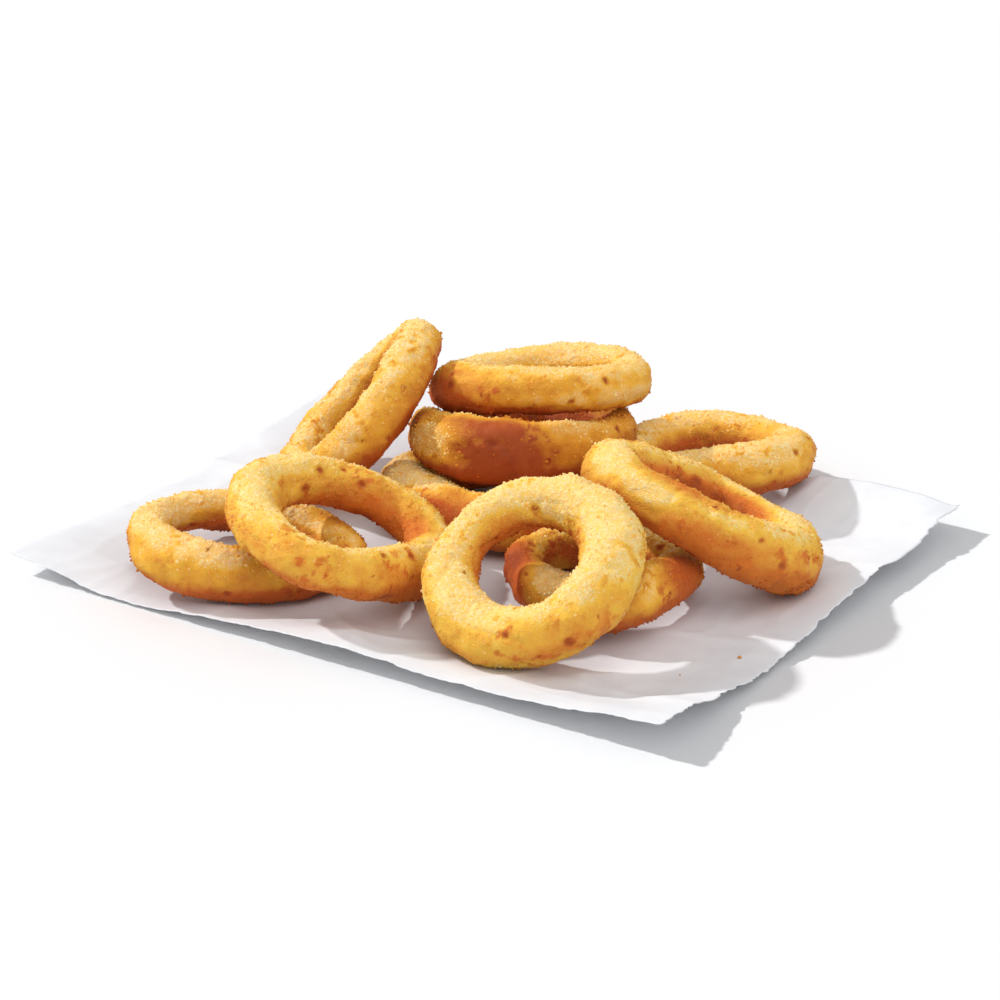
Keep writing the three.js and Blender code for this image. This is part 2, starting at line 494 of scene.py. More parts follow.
@dataclass(frozen=True)
class CrackerCrumb:
    """Cracker meal, milled and fried on to the batter.

    Each grain is a dry shard. Its broken faces catch the light one by one, and its colour runs
    from cream to the brown of what it sits on, painted shade included.
    """

    cream: int = 0xF2D692
    golden: int = 0xE8AA3E
    brown: int = 0xBC5A1C
    roughness: float = 0.6
    ior: float = 1.45
    sheen: float = 0.15

    def build(self) -> bpy.types.Material:
        """Make the crumb's finish.

        Returns:
            The material.
        """
        material, tree = blank_material("cracker_meal_fried")
        shade, toast_and_shade = (
            add_node(tree, "Attribute", attribute_name=mark).outputs["Fac"]
            for mark in ("shade", "toast_and_shade")
        )
        # Some shards are stained golden, and the stain takes the rest as the crust browns and as
        # shade is painted on it.
        pale = add_node(tree, "Math", {0: toast_and_shade, 1: -2.4, 2: 0.05}, **TIMES_PLUS).outputs[0]
        pale = add_node(tree, "Math", {0: shade, 1: 1.3, 2: pale}, **TIMES_PLUS).outputs[0]
        browned_and_shaded = add_node(tree, "Math", {0: toast_and_shade, 1: 1.4, 2: -0.2}, **TIMES_PLUS).outputs[0]
        browned_and_shaded = add_node(
            tree, "Math", {0: shade, 1: -0.25, 2: browned_and_shaded}, **TIMES_PLUS
        ).outputs[0]
        colour = linear(self.golden)
        for share, layer in ((pale, self.cream), (browned_and_shaded, self.brown)):
            inputs = {"Factor": share, "A": colour, "B": linear(layer)}
            colour = add_node(tree, "Mix", inputs, **OF_COLOURS).outputs["Result"]
        shader = add_node(
            tree,
            "BsdfPrincipled",
            {
                "Base Color": colour,
                "Roughness": self.roughness,
                "IOR": self.ior,
                "Specular IOR Level": self.sheen,
            },
        )
        add_node(tree, "OutputMaterial", {"Surface": shader.outputs["BSDF"]})
        return material


@dataclass(frozen=True)
class GreaseproofPaper:
    """Bleached greaseproof paper, beaten and calendered.

    The sheet is white with a very slight cool cast. Its surface is matt, with the cloudy
    formation and short fibres of pressed pulp.
    """

    white: int = 0xDDDEE0
    cloudy: int = 0xD6D7DA
    # Patterns, in millimetres.
    cloud: float = 14.0
    fibre: float = 0.9  # fibres are 0.03 mm wide, and are drawn as clumps about 1 mm across
    relief: float = 0.06
    relief_share: float = 0.25
    roughness: float = 0.62
    uneven: float = 0.1  # how far the roughness goes either way
    ior: float = 1.5
    sheen: float = 0.3

    def build(self) -> bpy.types.Material:
        """Make the paper.

        Returns:
            The material.
        """
        material, tree = blank_material("greaseproof_paper_calendered")
        place = add_node(tree, "TexCoord").outputs["Object"]
        clouds = add_node(
            tree,
            "TexNoise",
            {"Vector": place, "Scale": per_mm(self.cloud), "Detail": 4.0, "Roughness": 0.6},
        ).outputs["Fac"]
        fibres = add_node(
            tree,
            "TexNoise",
            {"Vector": place, "Scale": per_mm(self.fibre), "Detail": 3.0, "Roughness": 0.7},
        ).outputs["Fac"]
        share = add_node(
            tree, "MapRange", {"Value": clouds, "From Min": 0.35, "From Max": 0.7}
        ).outputs["Result"]
        inputs = {"Factor": share, "A": linear(self.white), "B": linear(self.cloudy)}
        colour = add_node(tree, "Mix", inputs, **OF_COLOURS).outputs["Result"]
        roughness = add_node(
            tree,
            "MapRange",
            {
                "Value": fibres,
                "To Min": self.roughness - self.uneven,
                "To Max": self.roughness + self.uneven,
            },
        ).outputs["Result"]
        relief = add_node(
            tree,
            "Bump",
            {"Height": fibres, "Strength": self.relief_share, "Distance": self.relief * MM},
        ).outputs["Normal"]
        shader = add_node(
            tree,
            "BsdfPrincipled",
            {
                "Base Color": colour,
                "Roughness": roughness,
                "Normal": relief,
                "IOR": self.ior,
                "Specular IOR Level": self.sheen,
            },
        )
        add_node(tree, "OutputMaterial", {"Surface": shader.outputs["BSDF"]})
        return material


@dataclass(frozen=True)
class PaintedBoard:
    """A table board in matt white emulsion, rolled on, which gives an even pale ground."""

    white: int = 0xFEFEFE
    roughness: float = 0.9
    sheen: float = 0.0

    def build(self) -> bpy.types.Material:
        """Make the board's paint.

        Returns:
            The material.
        """
        material, tree = blank_material("emulsion_paint_rolled")
        shader = add_node(
            tree,
            "BsdfPrincipled",
            {
                "Base Color": linear(self.white),
                "Roughness": self.roughness,
                "Specular IOR Level": self.sheen,
            },
        )
        add_node(tree, "OutputMaterial", {"Surface": shader.outputs["BSDF"]})
        return material


# ---- the rings ----


@dataclass(frozen=True)
class Patch:
    """A place on a ring that differs from the rest.

    angle is its direction on the ring before the ring is turned, and around is its direction
    on the tube, from the outside over the top. long and across are half its widths, all in
    degrees. rise is in millimetres, and toast and crumb are added to the crust's own. The
    toast is partly browning and partly painted shadow, and below 0 it is painted light.
    """

    angle: float
    around: float
    long: float
    across: float
    rise: float = 0.0
    toast_and_shade: float = 0.0
    crumb: float = 0.0

    def share(self, angle: np.ndarray, around: np.ndarray) -> np.ndarray:
        """Give how much of the patch there is at each step of the ring and of its tube.

        Args:
            angle: directions on the ring, in degrees.
            around: directions on the tube, in degrees.

        Returns:
            One number from 0 to 1, with the ring's steps first.
        """
        along = ((angle - self.angle + 180) % 360 - 180) / self.long
        over = ((around - self.around + 180) % 360 - 180) / self.across
        return np.exp(-(along[:, None] ** 2) - over[None, :] ** 2)


@dataclass(frozen=True)
class RingSizes:
    """The sizes of one ring, which are those of its solid.

    long and wide are outer diameters, thick is the tube's diameter, turn is the direction in
    which long is measured, lean is the angle off level and toward is where the low side lies.
    egg, bow, plump and oval are waves round the ring, each a height and the direction of its
    crest. coarse is how much crumb it has, toasted is how much browner it is than most, and
    patches are the places where it differs from its own rule, their toast partly painted
    shadow and painted light. blisters are where bubbles burst and went brown, each a
    direction on the ring, one on the tube and a width in millimetres.
    """

    name: str
    long: float
    wide: float
    thick: float
    turn: float
    lean: float
    toward: float
    egg: tuple[float, float]
    bow: tuple[float, float]
    plump: tuple[float, float]
    oval: tuple[float, float]
    fry: Fry
    coarse: float = 1.0
    toasted: float = 0.0
    patches: tuple[Patch, ...] = ()
    blisters: tuple[tuple[float, float, float], ...] = ()


# Much of the patches' toast below is painted shadow where rings shade one another, and, below 0,
# painted light.
RINGS = (
    RingSizes(
        "ring_left", long=81.5, wide=73, thick=16, turn=28, lean=7.5, toward=52,
        egg=(0.06, -5), bow=(1, 20), plump=(0.14, -90), oval=(0.11, 75),
        fry=Fry.GOLDEN, coarse=1.1,
        patches=(
            Patch(156, 180, 32, 50, toast_and_shade=-1.0),
            Patch(150, 80, 40, 30, toast_and_shade=-0.15),
            Patch(276, 75, 20, 35, toast_and_shade=-0.4),
            Patch(239, 340, 20, 35, toast_and_shade=-0.35),
            Patch(47, 148, 24, 35, toast_and_shade=-0.25),
            Patch(6, 88, 24, 35, toast_and_shade=0.2),
        ),
        blisters=((270, 332, 2.2),),
    ),
    RingSizes(
        "ring_under_pile", long=81, wide=76.5, thick=19, turn=15, lean=2.5, toward=85,
        egg=(0.04, -55), bow=(0.7, 45), plump=(0.12, -110), oval=(0.06, 40),
        fry=Fry.GOLDEN, coarse=1.3, toasted=-0.25,
        patches=(
            Patch(264, 50, 28, 50, toast_and_shade=0.85, crumb=-0.2),
            Patch(225, 120, 25, 42, toast_and_shade=-0.4),
        ),
    ),
    RingSizes(
        "ring_back_right", long=76, wide=76, thick=18, turn=24, lean=8.5, toward=151,
        egg=(0.01, 15), bow=(1.3, -60), plump=(0.06, -65), oval=(0.04, -90),
        fry=Fry.GOLDEN, coarse=0.9,
        patches=(
            Patch(318, 0, 30, 50, toast_and_shade=-0.25),
            Patch(42, 110, 26, 40, toast_and_shade=0.2),
            Patch(151, 85, 24, 40, toast_and_shade=-0.3),
        ),
        blisters=((332, 32, 2.2),),
    ),
    RingSizes(
        "ring_under_front", long=66.5, wide=70, thick=16.5, turn=66, lean=4.5, toward=144,
        egg=(0.05, -15), bow=(0.8, -70), plump=(0.13, -90), oval=(0.11, 55),
        fry=Fry.GOLDEN, coarse=0.9,
        patches=(
            Patch(153, 26, 26, 55, toast_and_shade=1.4, crumb=-0.3),
            Patch(199, 92, 22, 32, toast_and_shade=-0.45),
            Patch(60, 165, 45, 50, toast_and_shade=0.7),
            Patch(92, 222, 28, 40, toast_and_shade=-1.1),
            Patch(140, 85, 28, 40, toast_and_shade=0.8, crumb=-0.4),
            Patch(287, 40, 21, 60, toast_and_shade=0.75, crumb=-0.1),
            Patch(264, 20, 18, 30, toast_and_shade=-0.35),
            Patch(210, 45, 22, 50, toast_and_shade=-0.45, crumb=0.3),
        ),
        blisters=((347, 132, 3.4),),
    ),
    RingSizes(
        "ring_over_left", long=75.5, wide=85, thick=17.5, turn=7, lean=19.5, toward=26,
        egg=(0.09, 45), bow=(2.5, -70), plump=(0.03, 145), oval=(0.06, 5),
        fry=Fry.PALE, coarse=1.1, toasted=0.03,
        patches=(
            Patch(328, -15, 30, 35, toast_and_shade=0.2),
            Patch(297, -10, 24, 45, toast_and_shade=-0.3),
            Patch(84, 128, 36, 38, toast_and_shade=0.45),
            Patch(112, 68, 24, 26, toast_and_shade=-0.25),
            Patch(38, 142, 24, 40, toast_and_shade=0.7),
            Patch(276, 55, 22, 26, toast_and_shade=0.3),
            Patch(168, 186, 32, 38, toast_and_shade=-0.85),
            Patch(243, 316, 24, 30, toast_and_shade=-0.5),
        ),
        blisters=(
            (141, 132, 2.6), (123, 116, 2.0), (154, 168, 2.8), (109, 140, 2.8),
            (322, 76, 2.2), (346, 72, 1.8), (52, 52, 2.6),
        ),
    ),
    RingSizes(
        "ring_middle", long=84, wide=82.5, thick=18.5, turn=15, lean=13.5, toward=123,
        egg=(0.04, 5), bow=(2.3, 27), plump=(0.14, -57), oval=(0.22, -86),
        fry=Fry.DEEP, coarse=0.6,
        patches=(
            Patch(287, 0, 55, 30, rise=-0.9, toast_and_shade=0.1),
            Patch(287, 45, 50, 22, rise=0.7),
            Patch(287, -45, 50, 22, rise=0.7),
            Patch(282, 0, 22, 45, toast_and_shade=0.6, crumb=-0.2),
            Patch(259, 54, 37, 27, toast_and_shade=0.95, crumb=-0.2),
            Patch(305, -30, 20, 28, toast_and_shade=0.1),
            Patch(237, 2, 21, 58, toast_and_shade=-1.0, crumb=0.5),
            Patch(318, -12, 18, 35, toast_and_shade=-0.25),
            Patch(316, 60, 19, 12, rise=2.0, toast_and_shade=-0.35, crumb=0.9),
            Patch(305, 102, 20, 22, rise=-1.2, toast_and_shade=1.1),
            Patch(105, 165, 70, 60, toast_and_shade=1.2),
        ),
        blisters=((272, 20, 2.6), (348, 36, 2.8), (301, 352, 1.4)),
    ),
    RingSizes(
        "ring_top", long=79.5, wide=79, thick=17.5, turn=33, lean=14, toward=135,
        egg=(0.02, -40), bow=(0.7, 60), plump=(0.03, -175), oval=(0.03, 25),
        fry=Fry.GOLDEN, coarse=0.8,
        patches=(
            Patch(209, -30, 17, 42, toast_and_shade=0.6),
            Patch(197, 44, 15, 26, toast_and_shade=-0.4),
            Patch(314, -50, 38, 60, toast_and_shade=-1.0),
            Patch(219, 58, 20, 28, toast_and_shade=0.45),
            Patch(252, -34, 32, 28, toast_and_shade=-0.6),
            Patch(278, 32, 18, 26, toast_and_shade=0.2),
            Patch(46, 152, 30, 35, toast_and_shade=-0.25),
        ),
        blisters=((304, 24, 2.2), (285, 336, 2.0), (216, 16, 2.6)),
    ),
    RingSizes(
        "ring_on_edge", long=79, wide=79, thick=17.5, turn=30, lean=46.5, toward=209,
        egg=(0.01, 50), bow=(1.4, -10), plump=(0.07, 5), oval=(0.09, -70),
        fry=Fry.GOLDEN, coarse=1.1,
        patches=(
            Patch(77, 120, 30, 45, toast_and_shade=-0.5),
            Patch(270, 26, 18, 35, toast_and_shade=-0.55),
        ),
    ),
    RingSizes(
        "ring_right", long=85, wide=80, thick=19.5, turn=39, lean=26.5, toward=53,
        egg=(0.06, -50), bow=(0.2, 40), plump=(0.02, -10), oval=(0.1, -30),
        fry=Fry.PALE, coarse=1.2, toasted=0.05,
        patches=(
            Patch(75, 175, 55, 40, rise=2.8, toast_and_shade=0.5, crumb=-0.2),
            Patch(100, 180, 40, 28, toast_and_shade=0.75),
            Patch(36, 158, 34, 30, toast_and_shade=0.95, crumb=-0.2),
            Patch(245, 115, 45, 32, rise=1.9, toast_and_shade=0.25),
            Patch(246, 335, 20, 40, toast_and_shade=0.25),
            Patch(215, 0, 17, 38, toast_and_shade=-0.5),
            Patch(228, 84, 20, 26, toast_and_shade=0.55),
            Patch(266, 88, 20, 18, toast_and_shade=0.35),
            Patch(270, -5, 26, 40, toast_and_shade=0.3),
            Patch(318, 20, 22, 50, toast_and_shade=-0.2),
        ),
        blisters=((94, 152, 3.2), (286, 40, 2.0), (299, 8, 2.6)),
    ),
    RingSizes(
        "ring_front", long=73.5, wide=73.5, thick=19, turn=18, lean=31, toward=-91,
        egg=(0.02, -45), bow=(1.8, -30), plump=(0.11, -30), oval=(0.06, 25),
        fry=Fry.PALE, coarse=1.3, toasted=-0.18,
        patches=(
            Patch(262, 335, 60, 50, toast_and_shade=-0.75),
            Patch(72, 158, 40, 40, toast_and_shade=-0.7),
            Patch(301, 20, 16, 38, toast_and_shade=0.3),
            Patch(287, 84, 18, 28, toast_and_shade=0.2),
            Patch(320, 44, 16, 35, toast_and_shade=0.22),
            Patch(241, 12, 15, 35, toast_and_shade=0.2),
            Patch(276, 6, 14, 26, toast_and_shade=0.3),
            Patch(247, 12, 12, 30, rise=1.0),
            Patch(275, 345, 16, 30, rise=-0.8),
        ),
        blisters=((98, 144, 2.4), (301, 12, 3.0), (270, 60, 2.2), (355, 345, 2.2)),
    ),
)


@dataclass(frozen=True)
class Browning:
    """How much each cause browns the crust, some as painted shade: 0 is golden and 1 brown."""

    # Painted shade where the crust faces sideways and down, and on the hole's lower wall.
    side: float = 0.47
    under: float = 0.6
    hole: float = 0.35
    stain: float = 0.5
    # Painted shade where the crust touches another ring.
    touch_shade: float = 0.55
    blister: float = 0.9
    pit: float = 0.5
    # Uneven heat: the size of its patches in millimetres, and how much it browns.
    broad: tuple[float, float] = (11.0, 0.12)
    close: tuple[float, float] = (4.0, 0.14)
    most: float = 1.3
    # Scorching, which darkens what is brown already: by pits, by blisters and by long
    # frying, where the toast passes 1, which is partly deeper painted shade.
    pit_scorch: float = 1.1
    blister_scorch: float = 0.8
    long_scorch: float = 1.2
    long_uneven: tuple[float, float] = (5.0, 0.8)
    most_long: float = 0.6
    most_scorch: float = 0.75


@dataclass(frozen=True)
class Ground:
    """What a ring's relief, crumb and browning are worked out from, for each of its points.

    spot is where the ring's own patterns are read, and bend leads each point astray, so that
    no crumb or blister is round. up is 1 where the crust faces up and hole is 1 where it faces
    the hole. pit and burst are small pits and burst bubbles. patches tells how much there is
    of each patch, and tucked is 1 where the crust touches another ring.
    """

    spot: np.ndarray
    bend: np.ndarray
    up: np.ndarray
    hole: np.ndarray
    pit: np.ndarray
    burst: np.ndarray
    patches: list[tuple[Patch, np.ndarray]]
    tucked: np.ndarray


@dataclass(frozen=True)
class Skin:
    """A ring's finished surface, as grids: its points and the marks that crumbs read."""

    points: np.ndarray
    cover: np.ndarray
    toast_and_shade: np.ndarray


@dataclass
class OnionRing:
    """One battered onion ring: a bent, uneven ring of batter with lumps and crumbs."""

    sizes: RingSizes
    index: int
    steps_ring: int = 312
    steps_tube: int = 88
    # The solid's own steps, which say where the ring lies.
    solid_ring: int = 36
    solid_tube: int = 12
    # Waves round the ring, twist round the tube and share of the tube's radius.
    lumps: tuple[tuple[int, int, float], ...] = ((4, 1, 0.009), (5, -2, 0.007), (7, 1, 0.009))
    lump_turn: float = 2.4
    # Relief: size of each kind of feature and its height or depth, in millimetres.
    swell: tuple[float, float] = (16.0, 0.85)
    knob: tuple[float, float] = (7.5, 0.5)
    pimple: tuple[float, float] = (3.0, 0.27)
    furrow: tuple[float, float] = (14.0, 0.5)
    crumb: tuple[float, float] = (1.7, 0.5)
    dust: tuple[float, float] = (1.2, 0.15)
    pit: tuple[float, float] = (6.0, 0.35)
    blister: float = 0.3
    # How far the outlines of these wander, and how far apart one bend is from the next.
    crumb_wander: float = 0.3
    blister_wander: float = 0.55
    pit_wander: float = 0.9
    stain_wander: float = 1.2
    wander_size: float = 1.3
    # Crumb: the share of the sides that it covers, and what is added on top and in the hole.
    crumbed: tuple[float, float, float] = (0.45, 0.55, 0.3)
    least_crumbed: float = 0.1
    # Bare batter: the size of its places, and the share of crumb that they lack.
    bare: tuple[float, float] = (9.0, 0.45)
    # Colour: how much each cause browns, and the sizes of stains and of stained places.
    browning: Browning = Browning()
    stain: float = 2.8
    stained: float = 13.0
    tuck: float = 8.0  # within this distance of another ring the crust is painted browner, as shade
    off_sheet: float = 0.55  # height that the crust keeps over the table
    ease: float = 6.0  # depth over which the crust is pressed in at the model's box
    apart: float = 37.0  # how far one ring's patterns are moved from the next one's

    def centre_line(self, angle: np.ndarray) -> np.ndarray:
        """Give the tube's middle, for the ring level and centred.

        Args:
            angle: directions on the ring, in radians.

        Returns:
            One place for each direction, in millimetres.
        """
        sizes = self.sizes
        reach = 1 + wave(sizes.egg, 3, angle)
        return np.stack(
            [
                (sizes.long - sizes.thick) / 2 * reach * np.cos(angle),
                (sizes.wide - sizes.thick) / 2 * reach * np.sin(angle),
                wave(sizes.bow, 2, angle),
            ],
            axis=-1,
        )

    def tube_radius(self, angle: np.ndarray) -> np.ndarray:
        """Give the tube's radius at these directions."""
        sizes = self.sizes
        return sizes.thick / 2 * (1 + wave(sizes.plump, 1, angle) + wave(sizes.oval, 2, angle))

    def surface(self, steps_ring: int, steps_tube: int) -> tuple[np.ndarray, np.ndarray]:
        """Draw the ring's plain surface, leaned and turned but still centred.

        Args:
            steps_ring: points round the ring.
            steps_tube: points round the tube.

        Returns:
            Points and their outward directions, both with x, y and z along the last axis.
        """
        angle = np.arange(steps_ring) * 2 * math.pi / steps_ring
        around = np.arange(steps_tube) * 2 * math.pi / steps_tube
        half = math.pi / self.solid_ring
        along = self.centre_line(angle + half) - self.centre_line(angle - half)
        outward = np.cross(along, (0.0, 0.0, 1.0))
        outward /= np.linalg.norm(outward, axis=-1, keepdims=True)
        upward = np.cross(outward, along)
        upward /= np.linalg.norm(upward, axis=-1, keepdims=True)
        lumpy = np.ones((steps_ring, steps_tube))
        for kind, (waves, twist, share) in enumerate(self.lumps, start=1):
            phase = self.lump_turn * (self.index + 1) * kind
            lumpy += share * np.cos(waves * angle[:, None] + twist * around[None, :] + phase)
        reach = self.tube_radius(angle)[:, None] * lumpy
        out = (
            np.cos(around)[None, :, None] * outward[:, None, :]
            + np.sin(around)[None, :, None] * upward[:, None, :]
        )
        points = self.centre_line(angle)[:, None, :] + reach[..., None] * out
        turned = self.attitude()
        return points @ turned.T, out @ turned.T

    def attitude(self) -> np.ndarray:
        """Give the rotation that turns the ring and leans it.

        Returns:
            The rotation as a matrix of three rows.
        """
        toward = math.radians(self.sizes.toward)
        hinge = Vector((-math.sin(toward), math.cos(toward), 0.0))
        lean = Quaternion(hinge, math.radians(self.sizes.lean))
        turn = Quaternion((0.0, 0.0, 1.0), math.radians(self.sizes.turn))
        return np.array((lean @ turn).to_matrix())

    def middle(self) -> np.ndarray:
        """Find the ring's middle from where its solid lies.

        Returns:
            The middle, in millimetres.
        """
        solid, _ = self.surface(self.solid_ring, self.solid_tube)
        solid = solid.reshape(-1, 3)
        low, high = (np.array(corner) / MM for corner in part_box(self.sizes.name))
        return (low + high) / 2 - (solid.min(axis=0) + solid.max(axis=0)) / 2

    def balls(self, count: int = 90) -> tuple[np.ndarray, np.ndarray]:
        """Give the ring as a chain of balls.

        Args:
            count: how many balls.

        Returns:
            Their middles and their radii, in millimetres.
        """
        angle = np.arange(count) * 2 * math.pi / count
        middles = self.centre_line(angle) @ self.attitude().T + self.middle()
        return middles, self.tube_radius(angle)

    def tucked(self, points: np.ndarray, rings: list[OnionRing]) -> np.ndarray:
        """Say how close the crust is to the other rings.

        Args:
            points: places on the ring, in millimetres.
            rings: all the rings.

        Returns:
            One number for each place, from 0 in the open to 1 where rings touch.
        """
        nearest = np.full(points.shape[:-1], 2 * self.tuck)
        for ring in rings:
            if ring is self:
                continue
            for middle, radius in zip(*ring.balls(60)):
                gap = np.linalg.norm(points - middle, axis=-1) - radius
                nearest = np.minimum(nearest, gap)
        return 1 - smooth_share(nearest, 0.0, self.tuck)

    def burst(self, points: np.ndarray, bend: np.ndarray) -> np.ndarray:
        """Say where bubbles burst.

        Args:
            points: the plain surface, in place.
            bend: how far each point is led astray, so that no blister is round.

        Returns:
            One number for each point, up to about 1 in the middle of a blister.
        """
        share = np.zeros(points.shape[:-1])
        for angle, around, wide in self.sizes.blisters:
            row = round(angle / 360 * self.steps_ring) % self.steps_ring
            column = round(around / 360 * self.steps_tube) % self.steps_tube
            strayed = points + self.blister_wander * bend
            far = np.linalg.norm(strayed - points[row, column], axis=-1)
            share += np.exp(-((2 * far / wide) ** 2))
        return share

    def waves(self, spot: np.ndarray, size: float, number: int) -> np.ndarray:
        """Give one of the ring's own patterns of soft waves, this many millimetres apart."""
        return soft_noise(spot, size, 100 * (self.index + 1) + number)

    def ground(self, points: np.ndarray, out: np.ndarray, rings: list[OnionRing]) -> Ground:
        """Work out what the relief, the crumb and the browning depend on.

        Args:
            points: the plain surface, in place.
            out: its outward directions.
            rings: all the rings.

        Returns:
            What they depend on, at each point.
        """
        seed = 100 * (self.index + 1)
        spot = points + self.apart * (self.index + 1)
        bends = [self.waves(spot, self.wander_size, 40 + axis) for axis in range(3)]
        bend = np.stack(bends, axis=-1)
        strayed = spot + self.pit_wander * bend
        angle = np.arange(self.steps_ring) * 360 / self.steps_ring
        around = np.arange(self.steps_tube) * 360 / self.steps_tube
        return Ground(
            spot=spot,
            bend=bend,
            up=out[..., 2],
            hole=smooth_share(-np.cos(np.radians(around)), 0.2, 1.0)[None, :],
            pit=domes(strayed, self.pit[0], seed + 30, (0.07, 0.19), 0.35),
            burst=self.burst(points, bend),
            patches=[(patch, patch.share(angle, around)) for patch in self.sizes.patches],
            tucked=self.tucked(points, rings),
        )

    def covered(self, ground: Ground) -> np.ndarray:
        """Say how much of the batter crumb covers.

        Crumb stays on the open top and round the hole, and the batter's sides are smoother.

        Args:
            ground: what it depends on.

        Returns:
            One number up to 1 for each point.
        """
        side, top, hole = self.crumbed
        cover = side + top * smooth_share(ground.up, -0.1, 0.6) + hole * ground.hole
        size, lack = self.bare
        bare = smooth_share(self.waves(ground.spot, size, 1), 0, 0.5)
        cover *= self.sizes.coarse * (1 - lack * bare)
        extra = sum(patch.crumb * share for patch, share in ground.patches)
        return np.clip(cover + extra, self.least_crumbed, 1)

    def browned_and_shaded(self, ground: Ground) -> np.ndarray:
        """Say how brown the crust is, painted shade included.

        It browns at its stains, blisters and pits and with uneven heat. It is painted darker
        as shade where it faces down, on the hole's lower wall and where it touches another
        ring, and its patches paint shadows and light.

        Args:
            ground: what it depends on.

        Returns:
            One number for each point, 0 where it is golden and 1 where it is brown.
        """
        browning, spot, down = self.browning, ground.spot, -ground.up
        strayed = spot + self.stain_wander * ground.bend
        stain = smooth_share(self.waves(strayed, self.stain, 8), 0.2, 0.75)
        stain *= smooth_share(self.waves(spot, self.stained, 9), -0.2, 0.5)
        # Painted shade: the crust is darker as it faces down, and darker still underneath.
        toast_and_shade = browning.side * smooth_share(down, -1.0, -0.2)
        toast_and_shade += browning.under * smooth_share(down, -0.1, 0.7)
        for (size, share), number in ((browning.broad, 5), (browning.close, 6)):
            toast_and_shade += share * self.waves(spot, size, number)
        # Painted shade on the hole's lower wall.
        toast_and_shade += browning.hole * ground.hole * smooth_share(down, -0.7, 0)
        # Stains and the ring's own toasting, and painted shade where the crust touches another
        # ring.
        toast_and_shade += browning.stain * stain + browning.touch_shade * ground.tucked + self.sizes.toasted
        # The patches' toast: partly browning, partly painted shadow and painted light.
        toast_and_shade += sum(patch.toast_and_shade * share for patch, share in ground.patches)
        return toast_and_shade + browning.blister * ground.burst + browning.pit * ground.pit

    def relief(self, ground: Ground) -> tuple[np.ndarray, dict[str, np.ndarray]]:
        """Work out the batter's lumps and crumbs, and its colour.

        Args:
            ground: what they depend on.

        Returns:
            Height over the plain surface, and the marks that the material reads.
        """
        browning, spot, seed = self.browning, ground.spot, 100 * (self.index + 1)
        cover, toast_and_shade = self.covered(ground), self.browned_and_shaded(ground)
        strayed = spot + self.crumb_wander * ground.bend
        crumb = domes(strayed, self.crumb[0], seed + 10, (0.25, 0.6), 0.8)
        dust = domes(strayed, self.dust[0], seed + 20)
        height = cover * (self.crumb[1] * crumb + self.dust[1] * dust) - 0.5 * self.crumb[1]
        for (size, rise), number in ((self.swell, 2), (self.knob, 3), (self.pimple, 4)):
            height += rise * self.waves(spot, size, number)
        height -= self.furrow[1] * (1 - np.abs(self.waves(spot, self.furrow[0], 7))) ** 7
        height -= self.pit[1] * ground.pit + self.blister * ground.burst
        height += sum(patch.rise * share for patch, share in ground.patches)
        size, uneven = browning.long_uneven
        # Where the toast passes 1 the crust is scorched darker, partly as deeper painted shade.
        deep = np.clip(toast_and_shade - 1.0, 0, browning.most_long)
        deep *= 1 + uneven * self.waves(spot, size, 9)
        scorch_and_shade = browning.pit_scorch * ground.pit + browning.blister_scorch * ground.burst
        marks = {
            "cover": cover,
            "crumb": np.clip(cover * (0.8 * crumb + 0.4 * dust), 0, 1),
            "toast_and_shade": np.clip(toast_and_shade, 0, browning.most),
            "scorch_and_shade": np.clip(scorch_and_shade + browning.long_scorch * deep, 0, browning.most_scorch),
        }
        return height, marks

    def kept_in(self, points: np.ndarray) -> np.ndarray:
        """Press the ring in where it would pass the solid model's box or the sheet.

        Args:
            points: the ring's surface in place, in millimetres.

        Returns:
            The surface, eased over a few millimetres so that nothing shows.
        """
        low, high = (np.array(corner) / MM for corner in CAD_BOX)
        low[2] = self.off_sheet
        for axis, (side, limit) in itertools.product(range(3), ((1, high), (-1, low))):
            past = side * (points[..., axis] - limit[axis])
            most = past.max()
            if most > 0:
                points[..., axis] -= side * most * smooth_share(past, -self.ease, most)
        return points

    def build(self, rings: list[OnionRing]) -> tuple[bpy.types.Object, Skin]:
        """Build the ring's mesh in place.

        Args:
            rings: all the rings.

        Returns:
            The ring without its material, and its surface.
        """
        plain, out = self.surface(self.steps_ring, self.steps_tube)
        plain = plain + self.middle()
        height, marks = self.relief(self.ground(plain, out, rings))
        points = self.kept_in(plain + height[..., None] * out)
        numbers = np.arange(self.steps_ring * self.steps_tube)
        numbers = numbers.reshape(self.steps_ring, self.steps_tube)
        ahead = np.roll(numbers, -1, axis=0)
        above = np.roll(numbers, -1, axis=1)
        both = np.roll(ahead, -1, axis=1)
        faces = np.stack([numbers, ahead, both, above], axis=-1).reshape(-1, 4)
        name = self.sizes.name + "_crust"
        piece = make_mesh(name, points.reshape(-1, 3), faces, marks)
        return piece, Skin(points, marks["cover"], marks["toast_and_shade"])

    def dress(self, piece: bpy.types.Object, crust: bpy.types.Material) -> None:
        """Give the ring its crust and tie it to the frame."""
        piece.data.materials.append(crust)
        attach(piece, "fried_crust", self.sizes.name)


@dataclass(frozen=True)
class Grade:
    """One grade of crumb: its name, how many grains, their sizes, and one grain's form.

    proud is the share of its size by which a grain's middle stands off the crust. corners and
    faces are the form, as a closed solid with its third direction outward.
    """

    name: str
    count: int
    small: float
    large: float
    proud: float
    corners: tuple[tuple[float, float, float], ...]
    faces: tuple[tuple[int, int, int], ...]


